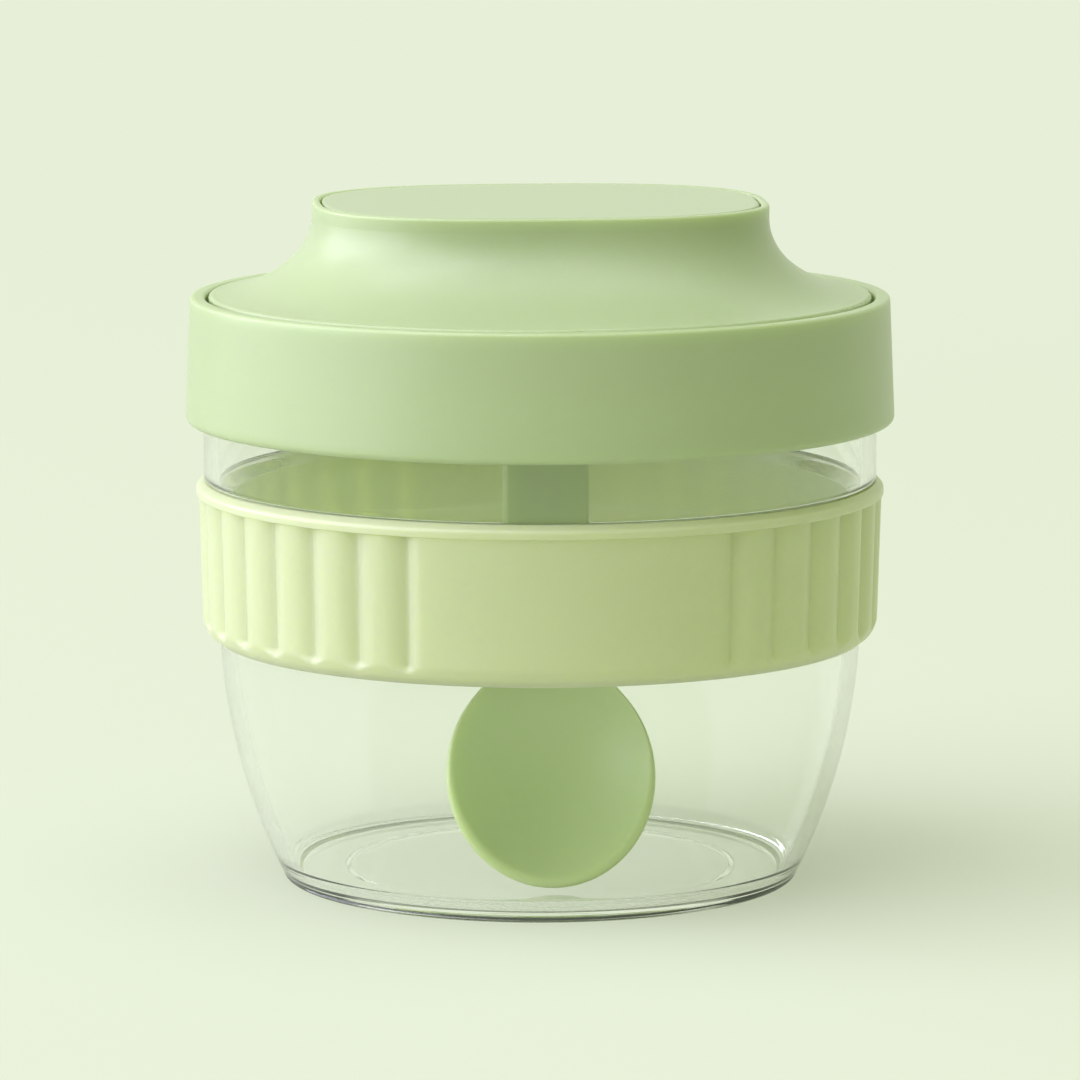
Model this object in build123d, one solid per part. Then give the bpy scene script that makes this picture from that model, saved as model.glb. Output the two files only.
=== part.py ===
from build123d import *
import os
from math import cos, pi, radians, sin, sqrt

# A clear food cup with a silicone grip band, a screw collar and a turning lid that carries a spoon.
# Millimetres. The origin is the centre of the foot on the table, +Z is up, +X runs along the long
# side of the grip, and -Y is the front, where the spoon hangs.

# Bowl: a thin clear moulding with a curved side, a straight seat for the band and a wider neck
belly_radius = 52.2
belly_height = 44.0
side_curve_radius = 97.0
bowl_wall = 2.3
floor_thickness = 1.4
floor_corner_radius = 6.0
foot_edge_radius = 1.5
foot_recess_radius = 31.9
foot_recess_depth = 0.6
foot_recess_draft = 0.5
shoulder_height = 66.0
shoulder_step = 2.4
shoulder_rounding = 0.8
neck_wall = 2.0
neck_plain_height = 10.5
thread_land_depth = 0.4
rim_height = 84.8
rim_rounding = 0.6
inner_step_height = 2.4
inner_step_rounding = 0.9

# Grip band: a silicone sleeve stretched over the seat, under the shoulder
band_height = 26.5
band_fit = 0.05
band_thickness = 3.2
band_draft = 0.5
band_lip_height = 2.8
band_lip_proud = 0.4
band_lip_face = 0.8
band_lip_rounding = 0.25
band_foot_width = 2.3
band_foot_height = 2.9
band_foot_corner_inset = 0.75
band_foot_corner_height = 1.2
band_foot_rounding = 2.5
flutes_per_side = 14
flute_depth = 1.2
front_panel_turn = 55.6
back_panel_turn = 43.2
panel_edge_turn = 2.8

# Screw collar: a drafted ring with an inward ledge that holds the dome up and presses the gasket down
collar_clearance = 0.8
collar_wall = 2.1
collar_height = 20.5
collar_draft = 0.9
collar_lip_width = 2.05
collar_lip_rounding = 0.6
collar_edge_rounding = 1.9
ledge_thickness = 2.0
ledge_overlap = 5.5
ledge_rounding = 0.3

# Rim gasket, wiper seal and slip ring
gasket_thickness = 1.5
gasket_width = 3.5
gasket_clearance = 1.3
gasket_rounding = 0.3
seal_groove_depth = 1.0
seal_edge_land = 1.0
seal_hub_land = 1.5
seal_fit = 0.05
slip_ring_thickness = 0.6
slip_ring_width = 6.2
slip_ring_margin = 0.4

# Grip dome: a skirted disc whose top sweeps up into a rounded oval grip, open at the top
dome_gap = 0.95
dome_wall = 2.0
skirt_height = 6.5
skirt_rounding = 0.6
skirt_land = 0.6
flare_rise = 12.6
flare_cone_share = 0.12
flare_sections = 9
grip_half_length = 36.7
grip_half_depth = 31.0
grip_fullness = 2.7
grip_rim_height = 2.3
grip_rim_wall = 1.3
grip_rim_rounding = 0.4
grip_seat_width = 1.6
oval_points = 24
well_depth = 9.1
deck_thickness = 2.0

# Grip cap: a flush plate with snap legs that reach down inside the grip
cap_gap = 0.3
cap_thickness = 2.2
cap_rounding = 0.4
cap_leg_width = 9.0
cap_leg_thickness = 1.3
cap_leg_length = 4.5
cap_leg_clearance = 0.2

# Lid plate: a flange under the ledge, a hub through it, screw posts and a blind socket for the spoon
flange_clearance = 1.1
flange_gap = 0.4
flange_thickness = 2.4
flange_rounding = 0.6
hub_clearance = 0.5
hub_wall = 2.2
hub_height = 3.0
post_radius = 3.4
post_pitch_x = 44.0
post_pitch_y = 28.0
socket_wall = 1.6
socket_roof_gap = 2.5
socket_mouth_depth = 12.0

# Plate screws: pan heads on the deck, shanks down into the posts
screw_radius = 1.5
screw_length = 10.0
screw_head_radius = 2.75
screw_head_height = 1.8
screw_head_rounding = 0.6
screw_hole_clearance = 0.2
screw_tip_room = 1.5

# Spoon: a dished round bowl on a flat handle
spoon_offset = 9.5
spoon_lean = 22.0
spoon_floor_gap = 0.4
dish_width = 33.6
dish_length = 36.6
dish_depth = 6.6
dish_sheet = 1.8
neck_reach = 6.0
neck_fillet = 10.0
neck_bend_radius = 20.0
neck_share_plain = 0.8
handle_width = 13.9
handle_thickness = 3.5
handle_rounding = 1.2
handle_clearance = 0.2
handle_end_gap = 0.5

# Spoon sleeve: a lipped silicone sleeve in the mouth of the socket
sleeve_wall = 1.5
sleeve_depth = 8.0
sleeve_lip_width = 0.8
sleeve_lip_height = 1.2
sleeve_fit = 0.05

# Radii from the bowl outwards, then inwards through the lid
neck_radius = belly_radius + shoulder_step
thread_land_radius = neck_radius - thread_land_depth
neck_inner_radius = thread_land_radius - neck_wall
side_centre = belly_radius - side_curve_radius
flute_pitch = (360 - front_panel_turn - back_panel_turn) / (2 * flutes_per_side)
collar_bore_radius = neck_radius + collar_clearance
collar_base_radius = collar_bore_radius + collar_wall
collar_top_radius = collar_base_radius - collar_draft
collar_recess_radius = collar_top_radius - collar_lip_width
dome_radius = collar_recess_radius - dome_gap
gasket_outer_radius = collar_bore_radius - gasket_clearance
gasket_inner_radius = gasket_outer_radius - gasket_width
flange_radius = gasket_inner_radius - flange_clearance
ledge_bore_radius = flange_radius - ledge_overlap
hub_radius = ledge_bore_radius - hub_clearance
seal_outer_radius = flange_radius - seal_edge_land
seal_inner_radius = hub_radius + seal_hub_land
slip_ring_radius = dome_radius - slip_ring_margin

# Heights from the floor of the bowl up to the top of the grip
floor_top = foot_recess_depth + floor_thickness
band_bottom = shoulder_height - band_height
thread_land_height = shoulder_height + neck_plain_height
ledge_bottom = rim_height + gasket_thickness
ledge_top = ledge_bottom + ledge_thickness
dome_seat = ledge_top + slip_ring_thickness
dome_edge_height = dome_seat + skirt_height
flare_top = dome_edge_height + flare_rise
grip_top = flare_top + grip_rim_height
cap_seat = grip_top - cap_thickness
deck_top = cap_seat - well_depth
deck_bottom = deck_top - deck_thickness
collar_top = dome_edge_height
collar_bottom = collar_top - collar_height
flange_top = ledge_bottom - flange_gap
flange_bottom = flange_top - flange_thickness
seal_bottom = flange_top - seal_groove_depth
socket_roof = cap_seat - socket_roof_gap
socket_top = socket_roof - socket_wall
socket_mouth = flange_bottom - socket_mouth_depth
handle_top = socket_top - handle_end_gap

# Half sizes of the grip's inner outlines, in from its outer face
cap_inset = grip_rim_wall + cap_gap
well_inset = grip_rim_wall + grip_seat_width
post_places = [(x * post_pitch_x / 2, y * post_pitch_y / 2) for x in (-1, 1) for y in (-1, 1)]


def turned_face(face):
    """Solid turned about Z from a face drawn as radius and height."""
    return revolve(Plane.XZ * face, Axis.Z)


def turned(*corners):
    """Solid turned about Z from a closed outline of corners, each a radius, a height and a rounding."""
    points = [(radius, height) for radius, height, _ in corners]
    roundings = [rounding for _, _, rounding in corners]
    return turned_face(make_face(FilletPolyline(*points, radius=roundings, close=True)))


def polar(radius, degrees):
    """Point in plan at a radius and an angle from +X."""
    return radius * cos(radians(degrees)), radius * sin(radians(degrees))


def prism(sketch, bottom, top):
    """Upright solid between two heights on a plan outline."""
    return extrude(Pos(0, 0, bottom) * sketch, top - bottom, dir=(0, 0, 1))


def floor_corner(wall_depth, level, blend):
    """Ends of the arc that blends a level floor into the curved side, wall_depth inside its outer face."""
    reach = side_curve_radius - wall_depth - blend
    fall = belly_height - level - blend
    run = sqrt(reach**2 - fall**2)
    stretch = (reach + blend) / reach
    on_floor = (side_centre + run, level)
    on_side = (side_centre + stretch * run, belly_height - stretch * fall)
    return on_floor, on_side


def make_bowl():
    inner_radius = belly_radius - bowl_wall
    seat_and_neck = FilletPolyline(
        (belly_radius, belly_height),
        (belly_radius, shoulder_height),
        (neck_radius, shoulder_height),
        (neck_radius, thread_land_height),
        (thread_land_radius, thread_land_height + thread_land_depth),
        (thread_land_radius, rim_height),
        (neck_inner_radius, rim_height),
        (neck_inner_radius, shoulder_height + inner_step_height),
        (inner_radius, shoulder_height),
        (inner_radius, belly_height),
        radius=[
            0,
            shoulder_rounding,
            0,
            0,
            rim_rounding,
            rim_rounding,
            inner_step_rounding,
            inner_step_rounding,
        ],
    )
    floor_edge, inner_side = floor_corner(bowl_wall, floor_top, floor_corner_radius)
    foot_edge, outer_side = floor_corner(0, 0, foot_edge_radius)
    outline = [
        seat_and_neck,
        TangentArc((inner_radius, belly_height), inner_side, tangent=(0, -1)),
        TangentArc(floor_edge, inner_side, tangent=(1, 0)),
        Polyline(
            floor_edge,
            (0, floor_top),
            (0, foot_recess_depth),
            (foot_recess_radius - foot_recess_draft, foot_recess_depth),
            (foot_recess_radius, 0),
            foot_edge,
        ),
        TangentArc(foot_edge, outer_side, tangent=(1, 0)),
        TangentArc((belly_radius, belly_height), outer_side, tangent=(0, -1)),
    ]
    return turned_face(make_face(outline))


def along_circle(degrees):
    """Direction in plan along a circle about the axis, towards larger angles."""
    return -sin(radians(degrees)), cos(radians(degrees))


def fluted_outline(crest_radius):
    """Plan of the band: from the front round, a plain panel, flutes, a plain panel at the back, flutes."""
    valley_radius = crest_radius - flute_depth
    angle = -90 - front_panel_turn / 2
    edges = []
    for panel_turn in (front_panel_turn, back_panel_turn):
        first = angle + panel_edge_turn
        last = angle + panel_turn - panel_edge_turn
        panel_start = polar(crest_radius, first)
        panel_end = polar(crest_radius, last)
        panel_middle = polar(crest_radius, angle + panel_turn / 2)
        fall_back = Vector(*along_circle(first)) * -1
        edges.append(TangentArc(panel_start, polar(valley_radius, angle), tangent=fall_back))
        edges.append(ThreePointArc(panel_start, panel_middle, panel_end))
        angle += panel_turn
        edges.append(TangentArc(panel_end, polar(valley_radius, angle), tangent=along_circle(last)))
        for _ in range(flutes_per_side):
            valley = polar(valley_radius, angle)
            crest = polar(crest_radius, angle + flute_pitch / 2)
            angle += flute_pitch
            edges.append(ThreePointArc(valley, crest, polar(valley_radius, angle)))
    return make_face(edges)


def make_grip_band():
    face_radius = belly_radius + band_thickness
    foot_radius = face_radius - band_draft
    lip_bottom = shoulder_height - band_lip_height
    body = loft(
        [
            Pos(0, 0, band_bottom) * fluted_outline(foot_radius),
            Pos(0, 0, lip_bottom) * fluted_outline(face_radius),
        ],
        ruled=True,
    )
    lip_radius = face_radius + band_lip_proud
    lip = turned(
        (0, lip_bottom, 0),
        (lip_radius, lip_bottom, band_lip_rounding),
        (lip_radius, lip_bottom + band_lip_face, band_lip_rounding),
        (neck_radius, shoulder_height, band_lip_rounding),
        (0, shoulder_height, 0),
    )

    # The flutes die out in the rounded foot, which is cut away round them
    foot_slope = (band_foot_height - band_foot_corner_height) / band_foot_corner_inset
    beyond = band_thickness
    foot_cut = turned(
        (foot_radius - band_foot_width, band_bottom, 0),
        (foot_radius + beyond, band_bottom, 0),
        (foot_radius + beyond, band_bottom + band_foot_height + foot_slope * beyond, 0),
        (foot_radius - band_foot_corner_inset, band_bottom + band_foot_corner_height, band_foot_rounding),
    )

    # The bore is the bowl's own outside, grown by the fit
    seat_radius = belly_radius + band_fit
    _, bore_start = floor_corner(-band_fit, 0, foot_edge_radius)
    bore_outline = [
        TangentArc((seat_radius, belly_height), bore_start, tangent=(0, -1)),
        Polyline(
            bore_start,
            (0, bore_start[1]),
            (0, shoulder_height),
            (seat_radius, shoulder_height),
            (seat_radius, belly_height),
        ),
    ]
    return body + lip - foot_cut - turned_face(make_face(bore_outline))


def make_rim_gasket():
    return turned(
        (gasket_inner_radius, rim_height, gasket_rounding),
        (gasket_outer_radius, rim_height, gasket_rounding),
        (gasket_outer_radius, ledge_bottom, gasket_rounding),
        (gasket_inner_radius, ledge_bottom, gasket_rounding),
    )


def make_screw_collar():
    return turned(
        (collar_bore_radius, collar_bottom, 0),
        (collar_base_radius, collar_bottom, collar_edge_rounding),
        (collar_top_radius, collar_top, collar_lip_rounding),
        (collar_recess_radius, collar_top, collar_lip_rounding),
        (collar_recess_radius, ledge_top, ledge_rounding),
        (ledge_bore_radius, ledge_top, ledge_rounding),
        (ledge_bore_radius, ledge_bottom, ledge_rounding),
        (collar_bore_radius, ledge_bottom, ledge_rounding),
    )


def make_slip_ring():
    return turned(
        (slip_ring_radius - slip_ring_width, ledge_top, 0),
        (slip_ring_radius, ledge_top, 0),
        (slip_ring_radius, dome_seat, 0),
        (slip_ring_radius - slip_ring_width, dome_seat, 0),
    )


def signed_power(value, exponent):
    """Power of a number's size that keeps its sign."""
    return abs(value) ** exponent if value >= 0 else -(abs(value) ** exponent)


def oval(half_length, half_depth, fullness):
    """Level face in a superellipse: a fullness of 2 gives an ellipse, a larger one a squarer oval."""
    points = []
    for step in range(oval_points):
        angle = 2 * pi * step / oval_points
        x = half_length * signed_power(cos(angle), 2 / fullness)
        y = half_depth * signed_power(sin(angle), 2 / fullness)
        points.append((x, y))
    return make_face(Spline(*points, periodic=True))


def grip_oval(inset):
    """The grip's outline, drawn in by an inset all round."""
    return oval(grip_half_length - inset, grip_half_depth - inset, grip_fullness)


def flare(inset, edge_radius, edge_height):
    """Sweep from a round edge up to the grip's oval: a quarter ellipse on a slight cone, upright on top."""
    sections = []
    for step in range(flare_sections + 1):
        turn = pi / 2 * step / flare_sections
        inward = sin(turn)
        rise = (1 - flare_cone_share) * (1 - cos(turn)) + flare_cone_share * inward
        outline = oval(
            edge_radius + (grip_half_length - inset - edge_radius) * inward,
            edge_radius + (grip_half_depth - inset - edge_radius) * inward,
            2 + (grip_fullness - 2) * inward,
        )
        sections.append(Pos(0, 0, edge_height + (flare_top - edge_height) * rise) * outline)
    return loft(sections)


def make_grip_dome():
    skirt = turned(
        (0, dome_seat, 0),
        (dome_radius, dome_seat, 0),
        (dome_radius, dome_edge_height, skirt_rounding),
        (0, dome_edge_height, 0),
    )
    grip = prism(grip_oval(0), flare_top, grip_top)
    outside = skirt + flare(0, dome_radius - skirt_rounding - skirt_land, dome_edge_height) + grip

    ceiling = dome_edge_height - dome_wall
    bore = turned(
        (0, dome_seat, 0),
        (dome_radius - dome_wall, dome_seat, 0),
        (dome_radius - dome_wall, ceiling, 0),
        (0, ceiling, 0),
    )
    hollow = bore + flare(dome_wall, dome_radius - dome_wall - skirt_land, ceiling)
    tub = prism(grip_oval(well_inset - dome_wall), deck_bottom, flare_top)
    dome = outside - (hollow - tub)

    dome -= prism(grip_oval(well_inset), deck_top, grip_top)
    dome -= prism(grip_oval(grip_rim_wall), cap_seat, grip_top)
    dome = fillet(dome.faces().sort_by(Axis.Z)[-1].edges(), grip_rim_rounding)
    socket_hole = socket_outline(handle_clearance + socket_wall + handle_clearance)
    dome -= prism(socket_hole, deck_bottom, deck_top)
    for place in post_places:
        hole = Circle(screw_radius + screw_hole_clearance)
        dome -= prism(Pos(*place) * hole, deck_bottom, deck_top)
    return dome


def make_grip_cap():
    plate = prism(grip_oval(cap_inset), cap_seat, grip_top)
    plate = fillet(plate.faces().sort_by(Axis.Z)[-1].edges(), cap_rounding)
    leg_middle = grip_half_depth - well_inset - cap_leg_clearance - cap_leg_thickness / 2
    for side in (-1, 1):
        leg = Pos(0, side * leg_middle) * Rectangle(cap_leg_width, cap_leg_thickness)
        plate += prism(leg, cap_seat - cap_leg_length, cap_seat)
    return plate


def socket_outline(margin):
    """The spoon handle's section in plan, grown by a margin all round."""
    outline = RectangleRounded(
        handle_width + 2 * margin,
        handle_thickness + 2 * margin,
        handle_rounding + margin,
    )
    return Pos(0, -spoon_offset) * outline


def make_lid_plate():
    plate = turned(
        (0, flange_bottom, 0),
        (flange_radius, flange_bottom, flange_rounding),
        (flange_radius, flange_top, 0),
        (seal_outer_radius, flange_top, 0),
        (seal_outer_radius, seal_bottom, 0),
        (seal_inner_radius, seal_bottom, 0),
        (seal_inner_radius, flange_top, 0),
        (hub_radius, flange_top, 0),
        (hub_radius, flange_top + hub_height, 0),
        (hub_radius - hub_wall, flange_top + hub_height, 0),
        (hub_radius - hub_wall, flange_top, 0),
        (0, flange_top, 0),
    )
    for place in post_places:
        plate += prism(Pos(*place) * Circle(post_radius), flange_top, deck_bottom)
        pilot_bottom = deck_top - screw_length - screw_tip_room
        plate -= prism(Pos(*place) * Circle(screw_radius), pilot_bottom, deck_bottom)
    sleeve_margin = sleeve_wall + sleeve_fit
    plate += prism(socket_outline(handle_clearance + socket_wall), flange_bottom, socket_roof)
    plate += prism(socket_outline(sleeve_margin + socket_wall), socket_mouth, flange_bottom)
    plate -= prism(socket_outline(handle_clearance), socket_mouth, socket_top)
    plate -= prism(socket_outline(sleeve_margin), socket_mouth, socket_mouth + sleeve_depth)
    return plate


def make_wiper_seal():
    return turned(
        (seal_inner_radius + seal_fit, seal_bottom, 0),
        (seal_outer_radius - seal_fit, seal_bottom, 0),
        (seal_outer_radius - seal_fit, ledge_bottom, gasket_rounding),
        (seal_inner_radius + seal_fit, ledge_bottom, gasket_rounding),
    )


def make_plate_screws():
    screw = turned(
        (0, deck_top - screw_length, 0),
        (screw_radius, deck_top - screw_length, 0),
        (screw_radius, deck_top, 0),
        (screw_head_radius, deck_top, 0),
        (screw_head_radius, deck_top + screw_head_height, screw_head_rounding),
        (0, deck_top + screw_head_height, 0),
    )
    return Compound(children=[Pos(*place) * screw for place in post_places])


def make_spoon():
    # The dish is a sheet between two spheres about one centre, trimmed to an oval. Its own frame has
    # X across, Y up along the spoon and Z forwards out of the hollow, and leans with its tip forwards.
    half_width = dish_width / 2
    half_length = dish_length / 2
    hollow_radius = (half_width**2 + dish_depth**2) / (2 * dish_depth)
    hollow_centre = hollow_radius - dish_depth
    back_radius = hollow_radius + dish_sheet
    tip_back = hollow_centre - sqrt(back_radius**2 - half_length**2)

    lean = radians(spoon_lean)
    neck_length = half_length + neck_reach
    centre_height = floor_top + spoon_floor_gap + half_length * cos(lean) - tip_back * sin(lean)
    centre_y = -spoon_offset - neck_length * sin(lean)
    dish_plane = Plane(
        origin=(0, centre_y, centre_height),
        x_dir=(1, 0, 0),
        z_dir=(0, -cos(lean), sin(lean)),
    )

    hollow = Pos(0, 0, hollow_centre) * Sphere(hollow_radius)
    back = Pos(0, 0, hollow_centre) * Sphere(back_radius)
    oval_outline = Ellipse(half_width, half_length)
    dish = extrude(oval_outline, amount=dish_depth + dish_sheet, both=True) & back
    stem_outline = Pos(0, neck_length / 2) * Rectangle(handle_width, neck_length)
    neck_outline = oval_outline + stem_outline
    corners = neck_outline.vertices()
    junctions = corners.filter_by_position(Axis.Y, half_width / 2, neck_length, (False, False))
    lower_half = Pos(0, -half_length) * Rectangle(dish_width, dish_length)
    neck_outline = fillet(junctions, neck_fillet) - lower_half
    neck = extrude(neck_outline, amount=handle_thickness / 2, both=True)
    blade = dish_plane * (dish + neck - hollow)

    dish_centre = Vector(0, centre_y, centre_height)
    bend = Vector(0, -spoon_offset, centre_height + neck_length * cos(lean))
    neck_start = dish_centre + (bend - dish_centre) * neck_share_plain
    path = FilletPolyline(neck_start, bend, (0, -spoon_offset, handle_top), radius=neck_bend_radius)
    section = Plane(origin=path @ 0, x_dir=(1, 0, 0), z_dir=path % 0)
    handle = sweep(section * RectangleRounded(handle_width, handle_thickness, handle_rounding), path)
    return blade + handle


def make_spoon_sleeve():
    sleeve = prism(socket_outline(sleeve_wall), socket_mouth, socket_mouth + sleeve_depth)
    lip_margin = sleeve_wall + sleeve_lip_width
    sleeve += prism(socket_outline(lip_margin), socket_mouth - sleeve_lip_height, socket_mouth)
    bore = socket_outline(sleeve_fit)
    return sleeve - prism(bore, socket_mouth - sleeve_lip_height, socket_mouth + sleeve_depth)


pieces = {
    "bowl": make_bowl(),
    "grip_band": make_grip_band(),
    "rim_gasket": make_rim_gasket(),
    "screw_collar": make_screw_collar(),
    "slip_ring": make_slip_ring(),
    "grip_dome": make_grip_dome(),
    "grip_cap": make_grip_cap(),
    "lid_plate": make_lid_plate(),
    "wiper_seal": make_wiper_seal(),
    "plate_screws": make_plate_screws(),
    "spoon": make_spoon(),
    "spoon_sleeve": make_spoon_sleeve(),
}

os.makedirs("parts", exist_ok=True)
for name, piece in pieces.items():
    export_step(piece, f"parts/{name}.step")
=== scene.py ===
# %% [markdown]
# # A clear food cup with a turning lid and a spoon
# The real object is a clear moulded cup with a silicone band round its waist, a screw collar, and inside
# the collar a domed disc with an oval grip. A spoon hangs from the lid into the cup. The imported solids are
# the fixed frame of this scene. A solid whose shape is right stays and gets a finish. The cup, the band,
# the collar and the spoon are made again as finer surfaces, because they have what solids leave out: the
# screw thread, the soft valleys of the band and the flowing neck of the spoon.

import bpy
import numpy as np
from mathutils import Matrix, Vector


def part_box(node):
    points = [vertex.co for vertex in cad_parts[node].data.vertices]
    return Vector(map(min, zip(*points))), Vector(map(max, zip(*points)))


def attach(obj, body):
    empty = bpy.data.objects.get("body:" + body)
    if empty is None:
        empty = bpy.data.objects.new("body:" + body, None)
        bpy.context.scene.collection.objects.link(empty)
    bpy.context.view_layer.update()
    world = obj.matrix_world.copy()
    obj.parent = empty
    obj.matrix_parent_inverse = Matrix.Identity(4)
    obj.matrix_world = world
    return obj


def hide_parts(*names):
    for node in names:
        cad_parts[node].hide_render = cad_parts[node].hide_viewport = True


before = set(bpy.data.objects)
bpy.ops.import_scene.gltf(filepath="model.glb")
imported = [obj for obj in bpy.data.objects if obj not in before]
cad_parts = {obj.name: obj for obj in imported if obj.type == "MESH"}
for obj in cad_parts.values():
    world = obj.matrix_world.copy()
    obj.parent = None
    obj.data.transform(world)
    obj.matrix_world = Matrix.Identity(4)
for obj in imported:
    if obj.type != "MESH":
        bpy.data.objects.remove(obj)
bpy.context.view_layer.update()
MM = 0.001


def node_box(node):
    """Lowest and highest corner of a solid, in millimetres."""
    return np.array(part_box(node)) / MM


bowl_high = node_box("bowl")[1]
band_low, band_high = node_box("grip_band")
collar_low, collar_high = node_box("screw_collar")
spoon_low, spoon_high = node_box("spoon")

# %% [markdown]
# ## From a grid of numbers to a piece
# Every new piece is a grid of points: the columns run round the piece, the rows run along its outline. One
# function turns any such grid into a closed mesh. Lathe and skin modifiers could do part of this, but a
# grid keeps every point under a formula, and its volume tells at once whether the faces point outwards.


# %% Grid to mesh
def closed_surface(name, grid, ends="joined"):
    """Mesh object from a grid of points in millimetres, of shape rows x columns x 3.

    Columns close round the piece. First and last row are joined to each other, or each is filled by a fan
    of triangles to its middle, or each is zipped: its halves lie on one another and share their points.
    The volume is the sum over triangles of a . (b x c) / 6, and a negative one turns all faces over.
    """
    rows, columns = grid.shape[:2]
    points = grid.reshape(-1, 3)
    index = np.arange(rows * columns).reshape(rows, columns)
    fans = np.empty((0, 3), int)
    if ends == "joined":
        index = np.vstack([index, index[:1]])
    if ends == "zipped":
        opposite = -np.arange(columns) % columns
        index[[0, -1]] = np.minimum(index[[0, -1]], index[[0, -1]][:, opposite])
    if ends == "fans":
        points = np.vstack([points, grid[0].mean(axis=0), grid[-1].mean(axis=0)])
        first, last = np.full(columns, rows * columns), np.full(columns, rows * columns + 1)
        start, end = index[0], index[-1]
        fans = np.vstack([
            np.column_stack([first, np.roll(start, -1), start]),
            np.column_stack([last, end, np.roll(end, -1)]),
        ])
    beside = np.roll(index, -1, axis=1)
    quads = np.stack([index[:-1], beside[:-1], beside[1:], index[1:]], axis=-1).reshape(-1, 4)
    triangles = np.vstack([quads[:, :3], quads[:, [0, 2, 3]], fans])
    a, b, c = points[triangles[:, 0]], points[triangles[:, 1]], points[triangles[:, 2]]
    volume = np.einsum("ij,ij->i", a, np.cross(b, c)).sum() / 6
    if volume < 0:
        quads, fans = quads[:, ::-1], fans[:, ::-1]
    used, quads_and_fans = np.unique(np.append(quads, fans), return_inverse=True)
    quads = quads_and_fans[:quads.size].reshape(-1, 4)
    fans = quads_and_fans[quads.size:].reshape(-1, 3)
    mesh = bpy.data.meshes.new(name)
    mesh.from_pydata((points[used] * MM).tolist(), [], quads.tolist() + fans.tolist())
    mesh.shade_smooth()
    piece = bpy.data.objects.new(name, mesh)
    bpy.context.scene.collection.objects.link(piece)
    print(f"{name}: {rows} x {columns} points, {abs(volume) / 1000:.1f} cm3, {len(triangles)} triangles")
    return piece


def stand_for(piece, node, body, finish):
    """The piece takes a solid's place, rides on its body and wears a finish."""
    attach(piece, body)
    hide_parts(node)
    piece.data.materials.append(finish)


# %% [markdown]
# ## Outlines with rounded corners
# A moulded ring is an outline of radius and height carried round the axis. The outline is given by its
# corners only, each with the radius of its rounding, because that is how a mould is drawn. Each corner
# becomes an arc, with one more point beside each end of it, so that the shading stays flat on flat faces.

# %% Rounded outlines
long_arc = 20.0
long_arc_steps = 41
short_arc_stride = 8
beside_share = 0.06


def rounded(corners):
    """Open outline through corners of radius, height and rounding.

    An arc is tangent to both runs at a reach of rounding x tan(turn / 2) from its corner. It starts there
    and its points are the arm from centre to start, rotated by equal shares of the turn. The two points
    beside it lie a small share of the straight stretch further out. An arc that isn't long keeps only one
    point in each stride.
    """
    corners = np.array(corners, float)
    at, rounding = corners[:, :2], corners[1:-1, 2]
    runs = np.diff(at, axis=0)
    lengths = np.linalg.norm(runs, axis=1)
    ways = runs / lengths[:, None]
    into, out = ways[:-1], ways[1:]
    cross = into[:, 0] * out[:, 1] - into[:, 1] * out[:, 0]
    turn = np.arctan2(cross, (into * out).sum(axis=1))
    reach = rounding * np.tan(np.abs(turn) / 2)
    spare = lengths - np.append(0, reach) - np.append(reach, 0)
    start = at[1:-1] - into * reach[:, None]
    inwards = np.column_stack([-into[:, 1], into[:, 0]]) * np.sign(turn)[:, None]
    centre = start + inwards * rounding[:, None]
    arm = start - centre
    swing = turn[:, None] * np.linspace(0, 1, long_arc_steps)
    arc = np.stack([
        centre[:, :1] + arm[:, :1] * np.cos(swing) - arm[:, 1:] * np.sin(swing),
        centre[:, 1:] + arm[:, :1] * np.sin(swing) + arm[:, 1:] * np.cos(swing),
    ], axis=-1)
    before = arc[:, :1] - (into * spare[:-1, None] * beside_share)[:, None]
    after = arc[:, -1:] + (out * spare[1:, None] * beside_share)[:, None]
    kept = (rounding[:, None] > long_arc) | (np.arange(long_arc_steps) % short_arc_stride == 0)
    beside = np.ones((len(rounding), 1), bool)
    rows = np.concatenate([before, arc, after], axis=1)[np.hstack([beside, kept, beside])]
    return np.vstack([at[:1], rows, at[-1:]])


def rounded_ring(corners):
    """Closed outline through corners of radius, height and rounding."""
    return rounded([corners[-1], *corners, corners[0]])[1:-1]


def turned(radius, height, angles):
    """Grid of points at a radius and height on every angle round the axis."""
    radius, height, angles = np.broadcast_arrays(radius, height, angles)
    return np.stack([radius * np.cos(angles), radius * np.sin(angles), height], axis=-1)


def full_turn(columns):
    """Equal angles round the axis, the last one short of the first."""
    return np.linspace(0, 2 * np.pi, columns, endpoint=False)


def smoothstep(low, high, value):
    """Soft step from 0 at low to 1 at high: 3 s^2 - 2 s^3 of the share s of the way."""
    share = np.clip((value - low) / (high - low), 0, 1)
    return share * share * (3 - 2 * share)


short_arc_points = len(range(0, long_arc_steps, short_arc_stride))
print("points on an arc:", long_arc_steps, "on a long one,", short_arc_points, "on any other")

# %% [markdown]
# ## Shader sums in plain Python
# A finish is a small graph of nodes. Written node by node it is hard to read, so one class wraps an output
# and lets Python's own signs add the Math nodes, and one method makes every other node from its type, its
# settings and its inputs.


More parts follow.
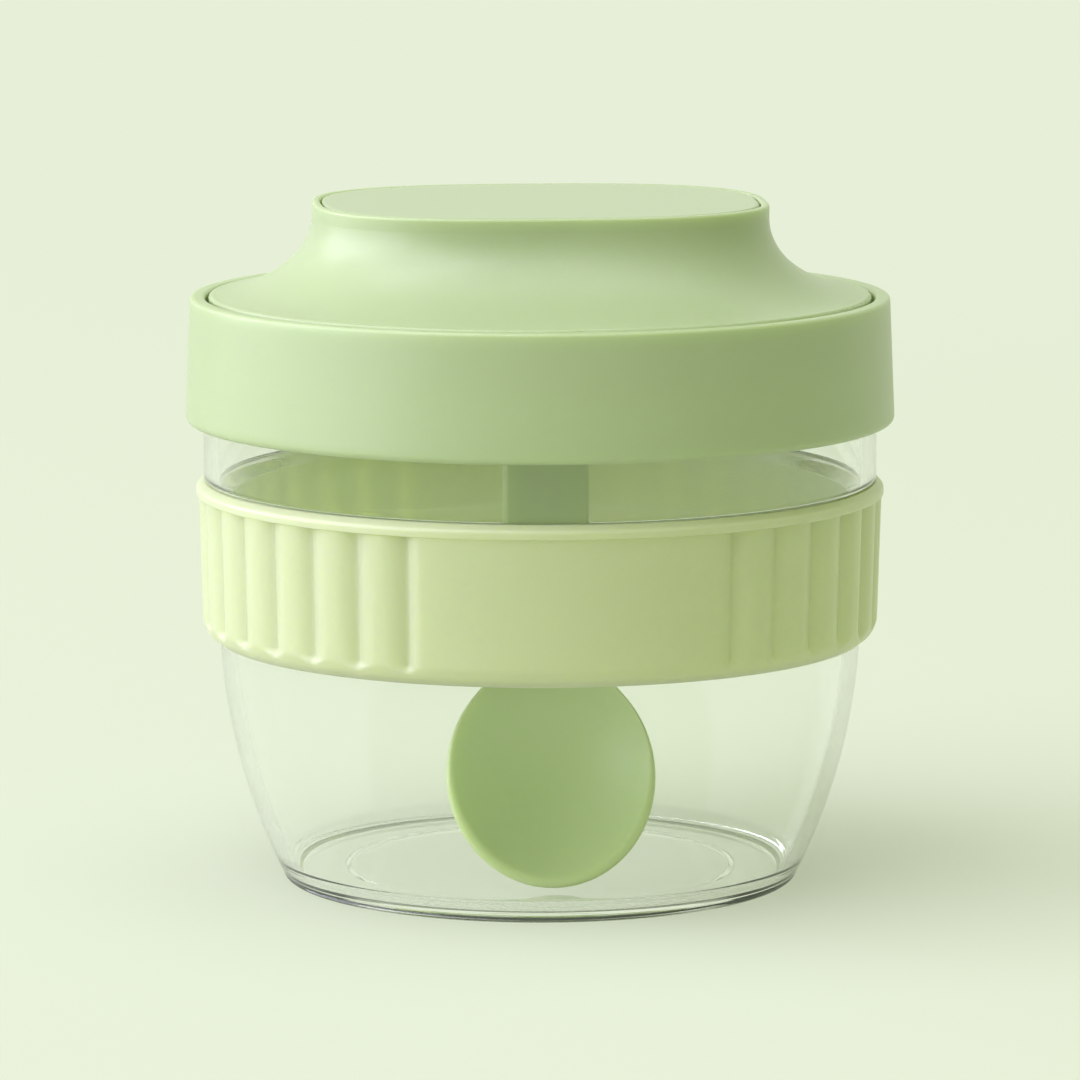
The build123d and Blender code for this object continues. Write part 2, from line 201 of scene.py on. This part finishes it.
# %% Finish helpers
class Tone:
    """A shader output that takes part in sums: a + b, 1 - a, a * b and a > b each add one Math node."""

    def __init__(self, finish, output):
        self.finish = finish
        self.output = output

    def maths(self, operation, first, second):
        return self.finish.node("ShaderNodeMath", {"operation": operation}, {0: first, 1: second})

    def __add__(self, other):
        return self.maths("ADD", self, other)

    __radd__ = __add__

    def __sub__(self, other):
        return self.maths("SUBTRACT", self, other)

    def __rsub__(self, other):
        return self.maths("SUBTRACT", other, self)

    def __mul__(self, other):
        return self.maths("MULTIPLY", self, other)

    __rmul__ = __mul__

    def __gt__(self, other):
        return self.maths("GREATER_THAN", self, other)

    def __lt__(self, other):
        return self.maths("LESS_THAN", self, other)


class Finish:
    """The node tree of a material or of the world."""

    def __init__(self, owner):
        owner.use_nodes = True
        self.owner = owner
        self.tree = owner.node_tree
        self.tree.nodes.clear()

    def node(self, kind, settings=None, inputs=None, output=0):
        """New node of a type, with its settings set first and then its inputs as values or links."""
        made = self.tree.nodes.new(kind)
        for name, value in (settings or {}).items():
            setattr(made, name, value)
        for name, value in (inputs or {}).items():
            if isinstance(value, Tone):
                self.tree.links.new(value.output, made.inputs[name])
            else:
                made.inputs[name].default_value = value
        return Tone(self, made.outputs[output]) if made.outputs else made

    def noise(self, scale, detail=2.0):
        """Noise of about 0 to 1 on the piece's own metres, with so many waves to the metre."""
        place = self.node("ShaderNodeTexCoord", output="Object")
        return self.node("ShaderNodeTexNoise", None, {"Vector": place, "Scale": scale, "Detail": detail})

    def blend(self, share, first, second):
        """Colour between two colours."""
        return self.node("ShaderNodeMix", {"data_type": "RGBA"}, {0: share, 6: first, 7: second}, output=2)

    def bump(self, height, strength, distance):
        """Normal tilted by a height, for the Normal input alone."""
        inputs = {"Height": height, "Strength": strength, "Distance": distance}
        return self.node("ShaderNodeBump", None, inputs)

    def surface(self, shader, kind="ShaderNodeOutputMaterial"):
        self.node(kind, None, {"Surface": shader})
        return self.owner


def colour(red, green, blue, alpha=1.0):
    """Linear colour from screen values of 0 to 255: the sRGB curve taken off."""
    screen = np.array([red, green, blue]) / 255
    linear = np.where(screen <= 0.04045, screen / 12.92, ((screen + 0.055) / 1.055) ** 2.4)
    return (*linear.tolist(), alpha)


print("middle grey on screen is", round(colour(128, 128, 128)[0], 3), "of the light of white")

# %% [markdown]
# ## Moulded plastic and silicone
# The lid is satin polypropylene: light goes a little way into it, so its edges glow softly, and a mould with
# a spark-eroded face has left a fine even grain. The band is silicone, paler and softer to the light. The cap
# on the grip gets a paler, less green tint than the lid: painted sheen, standing in for the reflection on its
# top. Each could be a material of its own, but one function makes them all from a tint, a roughness and a
# grain, with a faint drift of colour from the melt's flow, so that apart from the cap's painted sheen they
# differ only where the real ones do.

# %% Moulded finishes
drift_waves = 38.0
drift_roughness = 0.05
grain_roughness = 0.06
grain_strength = 0.08
grain_relief = 0.0002
light_reach = (0.85, 1.0, 0.45)
sheen_roughness = 0.36


def moulded(name, tint, deep, roughness, grain, glow, depth, sheen):
    """Satin moulding: two close tints drifting over centimetres, a roughness that wavers and a fine grain.

    Light goes in by a depth in metres, furthest in green and least in blue, and a softer skin of sheen lies
    on top.
    """
    finish = Finish(bpy.data.materials.new(name))
    drift = finish.noise(drift_waves)
    fine = finish.noise(grain, detail=1.0)
    shader = finish.node("ShaderNodeBsdfPrincipled", {"subsurface_method": "RANDOM_WALK"}, {
        "Base Color": finish.blend(drift, deep, tint),
        "Roughness": roughness + grain_roughness * fine + drift_roughness * drift,
        "Normal": finish.bump(fine, grain_strength, grain_relief),
        "Subsurface Weight": glow,
        "Subsurface Radius": light_reach,
        "Subsurface Scale": depth,
        "Coat Weight": sheen,
        "Coat Roughness": sheen_roughness,
    })
    return finish.surface(shader)


lid_finish = moulded(
    "lid_satin", tint=colour(165, 179, 138), deep=colour(161, 175, 133),
    roughness=0.4, grain=3200.0, glow=0.45, depth=0.006, sheen=0.6,
)
# The cap's tint is paler and less green than the lid's: painted sheen that stands in for the reflection on
# its top.
cap_painted_sheen_finish = moulded(
    "cap_painted_sheen", tint=colour(170, 181, 148), deep=colour(166, 177, 143),
    roughness=0.4, grain=3600.0, glow=0.12, depth=0.0036, sheen=0.5,
)
band_finish = moulded(
    "soft_band", tint=colour(190, 196, 158), deep=colour(186, 192, 153),
    roughness=0.42, grain=2600.0, glow=0.72, depth=0.012, sheen=0.7,
)
spoon_finish = moulded(
    "spoon_satin", tint=colour(188, 207, 143), deep=colour(184, 203, 138),
    roughness=0.32, grain=3000.0, glow=0.5, depth=0.006, sheen=0.4,
)
seal_finish = moulded(
    "soft_seal", tint=colour(226, 230, 216), deep=colour(219, 224, 207),
    roughness=0.5, grain=2600.0, glow=0.3, depth=0.004, sheen=0.2,
)
bearing_finish = moulded(
    "bearing_white", tint=colour(226, 226, 222), deep=colour(219, 219, 214),
    roughness=0.34, grain=3200.0, glow=0.1, depth=0.002, sheen=0.3,
)
moulded_finishes = [lid_finish, cap_painted_sheen_finish, band_finish, spoon_finish, seal_finish, bearing_finish]
print("moulded finishes:", ", ".join(finish.name for finish in moulded_finishes))

# %% [markdown]
# ## Clear plastic
# The cup is polished clear copolyester about two millimetres thick. Real refraction shows its edges, its
# floor and its step. A shadow of clear plastic would come out black in a path tracer, so for shadow rays and
# for light that matte surfaces scatter the wall counts as tinted air, which is close to what such a wall
# does. So it does for a ray that has been caught in the wall, which would end black there as well.

# %% Clear finish
wall_tint = (0.985, 0.995, 0.98, 1.0)
air_tint = (0.98, 0.985, 0.98, 1.0)
haze_waves = 55.0
polish_roughness = 0.008
haze_roughness = 0.02
wall_refraction = 1.45
wall_mirror = 0.25
wall_clearness = 0.975
trapped_after = 6


def clear_plastic(name):
    """Refracting wall with faint handling haze in its roughness, and tinted air for rays that pass straight.

    Those are shadow rays, scattered rays and rays that have already met more faces than trapped_after.
    """
    finish = Finish(bpy.data.materials.new(name))
    haze = finish.noise(haze_waves, detail=4.0)
    clear_wall = finish.node("ShaderNodeBsdfPrincipled", None, {
        "Base Color": wall_tint,
        "Roughness": polish_roughness + haze_roughness * haze,
        "IOR": wall_refraction,
        "Specular IOR Level": wall_mirror,
        "Transmission Weight": wall_clearness,
    })
    tinted_air = finish.node("ShaderNodeBsdfTransparent", None, {"Color": air_tint})
    shadow = finish.node("ShaderNodeLightPath", output="Is Shadow Ray")
    scattered = finish.node("ShaderNodeLightPath", output="Is Diffuse Ray")
    trapped = finish.node("ShaderNodeLightPath", output="Ray Depth") > trapped_after
    straight = finish.node("ShaderNodeClamp", None, {"Value": shadow + scattered + trapped})
    shader = finish.node("ShaderNodeMixShader", None, {0: straight, 1: clear_wall, 2: tinted_air})
    return finish.surface(shader)


clear_finish = clear_plastic("cup_clear")
print("clear finish:", clear_finish.name)

# %% [markdown]
# ## Screw steel
# Four small self-tapping screws join the dome to the plate under it. Their steel is zinc-plated, so it is
# pale grey metal, with fine marks from turning and plating in its colour and its gloss.

# %% Steel finish
mark_waves = 900.0
dull_zinc = (0.58, 0.58, 0.56, 1.0)
bright_zinc = (0.7, 0.7, 0.68, 1.0)
zinc_roughness = 0.28
mark_roughness = 0.15


def steel(name):
    """Zinc-plated steel: fine turning marks in the colour and the roughness."""
    finish = Finish(bpy.data.materials.new(name))
    marks = finish.noise(mark_waves)
    shader = finish.node("ShaderNodeBsdfPrincipled", None, {
        "Base Color": finish.blend(marks, dull_zinc, bright_zinc),
        "Roughness": zinc_roughness + mark_roughness * marks,
        "Metallic": 1.0,
    })
    return finish.surface(shader)


screw_finish = steel("screw_zinc")
print("steel finish:", screw_finish.name)

# %% [markdown]
# ## The cup
# The cup is one moulding: a foot ring round a shallow recess, a curved side, a straight seat for the band,
# a shoulder, and a neck with three quick-thread ridges. A lathe outline gives all but the ridges. They lie
# on rows of their own, where the radius swells along three rising lines, so the wall stays one closed
# skin that light can refract through.

# %% Cup sizes
neck_radius = bowl_high[0]
rim_height = bowl_high[2]
belly_radius = 52.2
belly_height = 44.0
side_curve = 97.0
wall = 2.3
shoulder_height = band_high[2] - 0.75
slope_top = shoulder_height + 0.5
slope_bottom = shoulder_height - 1.9
land_height = 76.9
land_step = 0.4
land_radius = neck_radius - land_step
neck_inner = land_radius - 2.0
thread_bottom, thread_top = land_height + 0.2, rim_height - 0.8
foot_blend = 0.9
floor_blend = 2.5
floor_top = 2.0
recess_depth = 1.0
recess_radius = 31.9
recess_slope = 0.9
gate_radius = 1.1
gate_slope = 0.2
gate_height = recess_depth - 0.25
pole_radius = 0.2
print(f"cup: {2 * neck_radius:.1f} mm across the neck, rim {rim_height:.1f} mm above the table")


# %% Cup outline
def side_corners(depth, level, blend):
    """Floor corner and side corner of the curved side, depth inside the outer face.

    The side's arc falls until it meets the floor's blend, after a turn whose sine is the fall over the
    difference of the two radii. A corner sits where the tangents at an arc's ends cross.
    """
    radius = side_curve - depth
    turn = np.arcsin((belly_height - level - blend) / (radius - blend))
    side = (belly_radius - depth, belly_height - radius * np.tan(turn / 2), radius)
    floor = (side[0] - (side[1] - level) * np.tan(turn), level, blend)
    return floor, side


foot, outer_side = side_corners(0, 0, foot_blend)
inner_floor, inner_side = side_corners(wall, floor_top, floor_blend)
outside = rounded([
    (pole_radius, gate_height, 0),
    (gate_radius, gate_height, 0.1),
    (gate_radius + gate_slope, recess_depth, 0.1),
    (recess_radius - recess_slope, recess_depth, 0.3),
    (recess_radius, 0, 0.3),
    foot,
    outer_side,
    (belly_radius, shoulder_height, 0.2),
    (neck_radius, shoulder_height, 0.8),
    (neck_radius, land_height - land_step, 0.4),
    (land_radius, land_height, 0.4),
    (land_radius, thread_bottom, 0),
])
inside = rounded([
    (land_radius, thread_top, 0),
    (land_radius, rim_height, 0.6),
    (neck_inner, rim_height, 0.6),
    (neck_inner, slope_top, 0.9),
    (belly_radius - wall, slope_bottom, 0.9),
    inner_side,
    inner_floor,
    (pole_radius, floor_top, 0),
])
print("cup outline:", len(outside) + len(inside), "rows, floor corner at", round(inner_floor[0], 1), "mm")

# %% Cup with its thread
thread_starts = 3
thread_first_turn, thread_last_turn = 10.0, 104.0
ridge_low, ridge_high = 78.7, 82.9
ridge_half_width = 0.95
ridge_crest = 0.35 * ridge_half_width
ridge_height = 0.9
ridge_fade = 8
thread_row_count = 34
cup_columns = 400


def thread_ridge(height, angles, drop, first_turn):
    """Swell from 0 to 1 along rising ridges, so many to the turn.

    In each start's share of the turn the ridge's middle climbs evenly. Across it the swell is a soft step
    of the distance from that middle, and along it the ends fade out over a few degrees.
    """
    local = np.degrees(angles) % (360 / thread_starts)
    climb = (local - thread_first_turn) / (thread_last_turn - thread_first_turn)
    middle = ridge_low + (ridge_high - ridge_low) * climb - drop
    across = smoothstep(ridge_half_width, ridge_crest, np.abs(height - middle))
    starts = smoothstep(first_turn, first_turn + ridge_fade, local)
    stops = smoothstep(thread_last_turn, thread_last_turn - ridge_fade, local)
    return across * (starts * stops)


cup_angles = full_turn(cup_columns)
thread_rows = np.linspace(thread_bottom, thread_top, thread_row_count + 2)[1:-1, None]
thread_radius = land_radius + ridge_height * thread_ridge(thread_rows, cup_angles, 0, thread_first_turn)
cup_grid = np.concatenate([
    turned(outside[:, :1], outside[:, 1:], cup_angles),
    turned(thread_radius, thread_rows, cup_angles),
    turned(inside[:, :1], inside[:, 1:], cup_angles),
])
cup = closed_surface("cup_wall", cup_grid, ends="fans")
stand_for(cup, "bowl", "cup", clear_finish)

# %% [markdown]
# ## The silicone band
# The band is a stretched sleeve: a lip on top, round flutes at the sides, a plain panel at the front. Each
# flute is a shallow round, and a soft maximum of one flute and the next leaves a small fillet in the valley,
# as a silicone mould does. The outline is turned as before, and below the lip its radius is held down to
# the flutes.

# %% Band flutes
front_panel_turn = 55.6
back_panel_turn = 43.2
flutes_per_side = 14
flute_pitch = (360 - front_panel_turn - back_panel_turn) / (2 * flutes_per_side)
flute_depth = 1.2
panel_edge = 2.8
valley_softness = 0.14
points_per_flute = 20
front_points, back_points = 60, 48


def soft_maximum(first, second, softness):
    """Larger of two values, rounded where they cross: their mix plus softness x share x (1 - share)."""
    share = np.clip(0.5 + 0.5 * (first - second) / softness, 0, 1)
    return second + (first - second) * share + softness * share * (1 - share)


def flute_drop(turns):
    """How far the face lies below its crests, at degrees from the middle of the front panel.

    A flute falls as the square of its phase, from 0 on the crest to 1 in the valley, and its neighbour
    as the square of 2 - phase. A panel's edge is half a narrower flute.
    """
    away = np.abs((turns + 180) % 360 - 180)
    into_flutes = (away - front_panel_turn / 2) / flute_pitch
    phase = np.abs((into_flutes % 1) * 2 - 1)
    fluted = -soft_maximum(-(phase**2), -((2 - phase) ** 2), valley_softness / flute_depth)
    past_edge = np.maximum(front_panel_turn / 2 - away, away - 180 + back_panel_turn / 2)
    edge = np.clip(1 - past_edge / panel_edge, 0, 1) ** 2
    return flute_depth * np.where(past_edge > 0, edge, fluted)


flute_span = flutes_per_side * flute_pitch
flute_turns = np.linspace(0, flute_span, flutes_per_side * points_per_flute, endpoint=False)
front_turns = np.linspace(-front_panel_turn / 2, front_panel_turn / 2, front_points, endpoint=False)
back_turns = np.linspace(-back_panel_turn / 2, back_panel_turn / 2, back_points, endpoint=False)
band_turns = np.concatenate([
    front_turns,
    front_panel_turn / 2 + flute_turns,
    180 + back_turns,
    180 + back_panel_turn / 2 + flute_turns,
])
band_angles = np.radians(band_turns - 90)
print(f"flutes: {2 * flutes_per_side}, {flute_pitch:.2f} degrees apart")

# %% Band
face_radius = band_high[0] - 0.3
lip_radius = face_radius + 0.3
foot_radius = face_radius - 0.6
bore_radius = belly_radius + 0.05
band_bottom = band_low[2]
lip_bottom = shoulder_height - 2.2
lip_slope = 0.9
hem_inset, hem_height = 0.75, 1.2
hem_bottom_inset, hem_top = 2.3, 2.9
fade_start, fade_end = 0.6, 3.4
bore_margin = 0.6
bore_draft = 0.1
hair = 0.02
band_outline = rounded_ring([
    (bore_radius - bore_draft, band_bottom, 0.1),
    (foot_radius - hem_bottom_inset, band_bottom, 0.6),
    (foot_radius - hem_inset, band_bottom + hem_height, 2.5),
    (foot_radius, band_bottom + hem_top, 3.0),
    (face_radius, lip_bottom, 0.12),
    (lip_radius, lip_bottom, 0.16),
    (lip_radius, shoulder_height - lip_slope, 0.8),
    (neck_radius, shoulder_height, 0.25),
    (bore_radius, shoulder_height, 0.15),
])
band_radius, band_height = band_outline[:, :1], band_outline[:, 1:]
crest = foot_radius + (face_radius - foot_radius) * (band_height - band_bottom) / (lip_bottom - band_bottom)
fade = smoothstep(band_bottom + fade_start, band_bottom + fade_end, band_height)
fluted_radius = np.minimum(band_radius, crest - flute_drop(band_turns) * fade)
below_lip = (band_height <= lip_bottom + hair) & (band_radius < face_radius + hair)
on_face = below_lip & (band_radius > bore_radius + bore_margin)
band_grid = turned(np.where(on_face, fluted_radius, band_radius), band_height, band_angles)
band = closed_surface("silicone_band", band_grid)
stand_for(band, "grip_band", "cup", band_finish)

# %% [markdown]
# ## The screw collar
# The collar is a drafted ring with a rounded lower edge, a narrow lip on top and an inward ledge that holds
# the dome. Its thread ridges stand inwards, just under the cup's own, and repeat three times round, so a
# third of a turn brings them into line again.

# %% Collar
collar_bore = neck_radius + 0.8
collar_base = collar_bore + 2.1
collar_crown = collar_base - 0.9
collar_bottom, collar_top = collar_low[2], collar_high[2] - 0.25
recess_wall = collar_crown - 2.45
ledge_bottom, ledge_top = rim_height + 1.5, rim_height + 3.5
ledge_bore = 44.0
collar_thread_bottom, collar_thread_top = collar_bottom + 1.0, ledge_bottom - 1.0
collar_ridge_drop = 2.1
collar_first_turn = 40.0
collar_row_count = 42
collar_outline = rounded([
    (collar_bore, collar_thread_bottom, 0),
    (collar_bore, collar_bottom, 0.2),
    (collar_base, collar_bottom, 1.0),
    (collar_crown, collar_top, 0.6),
    (recess_wall, collar_top, 0.6),
    (recess_wall, ledge_top, 0.3),
    (ledge_bore, ledge_top, 0.3),
    (ledge_bore, ledge_bottom, 0.3),
    (collar_bore, ledge_bottom, 0.3),
    (collar_bore, collar_thread_top, 0),
])
inner_rows = np.linspace(collar_thread_top, collar_thread_bottom, collar_row_count + 2)[1:-1, None]
inner_swell = thread_ridge(inner_rows, cup_angles, collar_ridge_drop, collar_first_turn)
collar_grid = np.concatenate([
    turned(collar_outline[:, :1], collar_outline[:, 1:], cup_angles),
    turned(collar_bore - ridge_height * inner_swell, inner_rows, cup_angles),
])
collar = closed_surface("threaded_collar", collar_grid)
stand_for(collar, "screw_collar", "collar", lid_finish)

# %% [markdown]
# ## The spoon
# The spoon is a dished oval that flows into a flat handle. Its sheet is a map from a flat grid: below the
# dish's middle the grid's square is bent to a half oval, above it each row is stretched to the outline.
# Front and back faces are heights over that map, with a flat rim round the hollow, and their distance falls
# to nothing at the edge as a quarter circle, which rounds the rim. Last the flat spoon is carried along the
# bent handle line.

# %% Spoon sizes
dish_half_width = spoon_high[0]
dish_half_length = 18.3
dish_depth = 6.6
sheet = 1.8
rim_land = 1.5
rim_softness = 0.5
edge_round = 0.7
back_softness = 0.8
handle_half_width = 6.95
handle_thickness = 3.5
rise_start, rise_end = -0.6 * dish_half_length, 0.9 * dish_half_length
hollow_end = 1.25 * dish_half_length
neck_length = dish_half_length + 6.0
neck_blend = 6.0
spoon_offset = 9.5
lean = np.radians(22.0)
bend_radius = 20.0
bend_length = bend_radius * lean
bend_reach = bend_radius * np.tan(lean / 2)
bend_start = neck_length - bend_reach
hollow_rim = dish_half_width - rim_land
hollow_stretch = hollow_rim / (dish_half_length - rim_land)
hollow_radius = (hollow_rim**2 + dish_depth**2) / (2 * dish_depth)
hollow_centre = hollow_radius - dish_depth
tip_back = hollow_centre - np.sqrt((hollow_radius + sheet) ** 2 - (hollow_stretch * dish_half_length) ** 2)
dish_height = spoon_low[2] + dish_half_length * np.cos(lean) - tip_back * np.sin(lean)
dish_front = -spoon_offset - neck_length * np.sin(lean)
bend_end_height = dish_height + neck_length * np.cos(lean) + bend_reach
spoon_length = bend_start + bend_length + spoon_high[2] - bend_end_height
print("spoon:", round(spoon_length, 1), "mm from the dish's middle to the handle's end")


# %% Spoon map
def spoon_half_width(along):
    """Half width of the outline above the dish's middle: the larger of oval and handle, softly joined."""
    oval = dish_half_width * np.sqrt(np.clip(1 - (along / dish_half_length) ** 2, 0, 1))
    return soft_maximum(oval, handle_half_width, neck_blend)


map_columns = 73
tip_rows, bend_rows, end_rows = 40, 90, 10
past_bend, before_end = 6, 12
across = np.sin(np.linspace(-np.pi / 2, np.pi / 2, map_columns))
below = -np.sin(np.linspace(np.pi / 2, 0, tip_rows))[:-1, None]
above = np.linspace(0, bend_start + bend_length + past_bend, bend_rows)
end = spoon_length - 2 * edge_round * (1 - np.sin(np.linspace(0, np.pi / 2, end_rows)))
upper = np.concatenate([above, [spoon_length - before_end], end])[:, None]
flat_x = np.concatenate([
    dish_half_width * across * np.sqrt(1 - below**2 / 2),
    spoon_half_width(upper) * across,
])
flat_y = np.concatenate([
    dish_half_length * below * np.sqrt(1 - across**2 / 2),
    upper + 0 * across,
])
print("spoon map:", flat_x.shape[0], "rows of", flat_x.shape[1], "points")


# %% Spoon faces
def spoon_faces(x, y):
    """Front and back heights of the sheet over the flat map.

    The front is the smaller of a flat rim, which rises to the handle's face, and the hollow sphere,
    c - sqrt(R^2 - x^2 - (k y)^2), the back the smaller of the handle's back and a sphere one sheet larger.
    Both minima are soft.
    """
    square = x**2 + (hollow_stretch * np.clip(y, None, hollow_end)) ** 2
    hollow = hollow_centre - np.sqrt(np.clip(hollow_radius**2 - square, 0, None))
    outer = hollow_centre - np.sqrt(np.clip((hollow_radius + sheet) ** 2 - square, 0, None))
    slab = handle_thickness / 2 * smoothstep(rise_start, rise_end, y)
    front = -soft_maximum(-hollow, -slab, rim_softness)
    back = -soft_maximum(-outer, slab, back_softness)
    return front, back


def edge_distance(x, y):
    """Distance in from the outline: by the oval's share below the dish's middle, by half widths above it."""
    oval_share = np.sqrt((x / dish_half_width) ** 2 + (y / dish_half_length) ** 2)
    from_oval = (1 - oval_share) * dish_half_width
    from_side = np.minimum(spoon_half_width(np.maximum(y, 0)) - np.abs(x), spoon_length - y)
    return np.where(y < 0, from_oval, from_side)


front, back = spoon_faces(flat_x, flat_y)
inset = np.clip(edge_distance(flat_x, flat_y) / edge_round, 0, 1)
half_sheet = (front - back) / 2 * np.sqrt(1 - (1 - inset) ** 2)
middle = (front + back) / 2
print(f"spoon sheet: {2 * half_sheet.max():.1f} mm at its thickest")


# %% Spoon along its handle line
def along_handle(x, y, w):
    """Place of a flat point: y runs up the leaning dish, round the bend and up the handle, w to the front.

    On the bend the tilt falls evenly from the lean to 0, and the line's place is its cosine and sine times
    the bend's radius.
    """
    share = np.clip((y - bend_start) / bend_length, 0, 1)
    tilt = lean * (1 - share)
    straight = np.minimum(y, bend_start)
    upright = np.maximum(y - bend_start - bend_length, 0)
    arc_y = bend_radius * (np.cos(tilt) - np.cos(lean))
    arc_z = bend_radius * (np.sin(lean) - np.sin(tilt))
    line_y = dish_front + straight * np.sin(lean) + arc_y
    line_z = dish_height + straight * np.cos(lean) + arc_z + upright
    return np.stack([x, line_y - w * np.cos(tilt), line_z + w * np.sin(tilt)], axis=-1)


front_grid = along_handle(flat_x, flat_y, middle + half_sheet)
back_grid = along_handle(flat_x, flat_y, middle - half_sheet)
spoon_grid = np.concatenate([front_grid, back_grid[:, -2:0:-1]], axis=1)
spoon = closed_surface("dished_spoon", spoon_grid, ends="zipped")
stand_for(spoon, "spoon", "turning_lid", spoon_finish)

# %% [markdown]
# ## Solids that stay
# The dome with its swept grip, the cap, the plate under the lid and the seals already have their true shape.
# They keep it and only get their finish.

# %% Dress the solids
solid_finishes = {
    "grip_dome": lid_finish,
    "grip_cap": cap_painted_sheen_finish,
    "lid_plate": lid_finish,
    "rim_gasket": seal_finish,
    "wiper_seal": seal_finish,
    "spoon_sleeve": seal_finish,
    "slip_ring": bearing_finish,
    "plate_screws": screw_finish,
}
for node, finish in solid_finishes.items():
    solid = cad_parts[node]
    solid.data.materials.clear()
    solid.data.materials.append(finish)
print("dressed solids:", ", ".join(solid_finishes))

# %% [markdown]
# ## Floor
# The cup stands on a seamless sheet of pale green paper. A photographer lights such a sheet until it is even,
# and a render can do the same without more lamps: far from the cup the sheet simply shows its own colour to
# the camera, to mirrors and through clear walls. Near the cup most of it is a plain matte floor, so that
# it keeps the shadow. A hair's gap parts it from the foot, because two faces in one plane render as
# speckles.

# %% Paper floor
paper = colour(231, 239, 216)
paper_stock = (0.62, 0.635, 0.54, 1.0)
near_share = 0.38
near_reach, far_reach = 0.35, 1.1
floor_gap = 0.05
floor_thickness = 20.0
floor_rings = np.array([50.0, 150.0, 300.0, 600.0, 1200.0, 2500.0, 6000.0])[:, None]
floor_columns = 96
floor_angles = full_turn(floor_columns)
floor_grid = np.vstack([
    turned(floor_rings, -floor_gap, floor_angles),
    turned(floor_rings[::-1], -floor_thickness, floor_angles),
])
floor = closed_surface("paper_floor", floor_grid, ends="fans")


def seen_directly(finish):
    """1 for rays from the camera, off a mirror or through a clear wall."""
    camera = finish.node("ShaderNodeLightPath", output="Is Camera Ray")
    glossy = finish.node("ShaderNodeLightPath", output="Is Glossy Ray")
    through = finish.node("ShaderNodeLightPath", output="Is Transmission Ray")
    return finish.node("ShaderNodeClamp", None, {"Value": camera + glossy + through})


def paper_sheet(name):
    """Mostly matte near the cup, plain paper colour far from it."""
    finish = Finish(bpy.data.materials.new(name))
    place = finish.node("ShaderNodeTexCoord", output="Object")
    distance = finish.node("ShaderNodeVectorMath", {"operation": "LENGTH"}, {0: place}, output="Value")
    far = finish.node("ShaderNodeMapRange", {"interpolation_type": "SMOOTHSTEP"}, {
        "Value": distance, "From Min": near_reach, "From Max": far_reach,
    })
    matte = finish.node("ShaderNodeBsdfDiffuse", None, {"Color": paper_stock})
    plain = finish.node("ShaderNodeEmission", None, {"Color": paper, "Strength": 1.0})
    shown = near_share + (1 - near_share) * far
    return finish.surface(finish.node("ShaderNodeMixShader", None, {
        0: shown * seen_directly(finish), 1: matte, 2: plain,
    }))


floor.data.materials.append(paper_sheet("paper_sheet"))

# %% [markdown]
# ## Light
# The light is soft and comes from the left: a large high softbox, a wide low wall of light like a window, and
# a weak softbox overhead, with greenish light from the paper all round. Lamps this large give soft shadows
# without help. They don't show through the clear walls, where they would be hard white patches.

# %% Room and softboxes
ambient = (0.45, 0.53, 0.25, 1.0)
lamp_colour = (0.94, 0.95, 1.12)
world = bpy.data.worlds.new("pale_room")
bpy.context.scene.world = world
room = Finish(world)
room.surface(room.node("ShaderNodeBackground", None, {
    "Color": room.blend(seen_directly(room), ambient, paper),
    "Strength": 1.0,
}), kind="ShaderNodeOutputWorld")


def softbox(name, level, distance, elevation, side, width, height):
    """Area light turned to the cup, from the left when side is 0 and from nearer the camera as it grows.

    A lamp of power P gives P / (pi d^2) of light on a facing sheet at distance d, and a white sheet sends
    back 1 / pi of it to the eye, so the power for a level is level x pi^2 x d^2.
    """
    up, round_front = np.radians(elevation), np.radians(side)
    light = bpy.data.lights.new(name, "AREA")
    light.shape = "RECTANGLE"
    light.size, light.size_y = width, height
    light.energy = level * np.pi**2 * distance**2
    light.color = lamp_colour
    lamp = bpy.data.objects.new(name, light)
    lamp.location = (
        -distance * np.cos(up) * np.cos(round_front),
        -distance * np.cos(up) * np.sin(round_front),
        distance * np.sin(up),
    )
    lamp.rotation_euler = (-lamp.location).to_track_quat("-Z", "Y").to_euler()
    lamp.visible_transmission = False
    bpy.context.scene.collection.objects.link(lamp)
    print(f"{name}: {light.energy:.0f} W")


softbox("key_softbox", level=0.8, distance=5.0, elevation=56.0, side=22.0, width=6.0, height=4.6)
softbox("window_wall", level=1.3, distance=4.5, elevation=17.0, side=-2.0, width=8.0, height=3.2)
softbox("top_softbox", level=0.26, distance=4.0, elevation=88.0, side=0.0, width=3.6, height=3.6)

# %% [markdown]
# ## Camera
# The view is a long lens a metre away, a little above the lid and looking down. The lens, distance and dip
# follow from how flat the lid's and the base's circles look, and the small turn from where the front panel
# of the band lies.

# %% Camera
camera_distance = 1.0146
camera_height = 0.2058
camera_dip = np.radians(8.46)
camera_turn = np.radians(5.5)
camera = bpy.data.cameras.new("front_view")
camera.sensor_width = 36.0
camera.lens = 210.0
camera.clip_end = 50.0
view = bpy.data.objects.new("front_view", camera)
view.location = (
    -camera_distance * np.sin(camera_turn),
    -camera_distance * np.cos(camera_turn),
    camera_height,
)
view.rotation_euler = (np.pi / 2 - camera_dip, 0, -camera_turn)
bpy.context.scene.collection.objects.link(view)
bpy.context.scene.camera = view
bpy.context.scene.view_settings.view_transform = "Standard"
print(f"camera: {camera.lens:.0f} mm lens, {camera_distance:.2f} m from the axis")
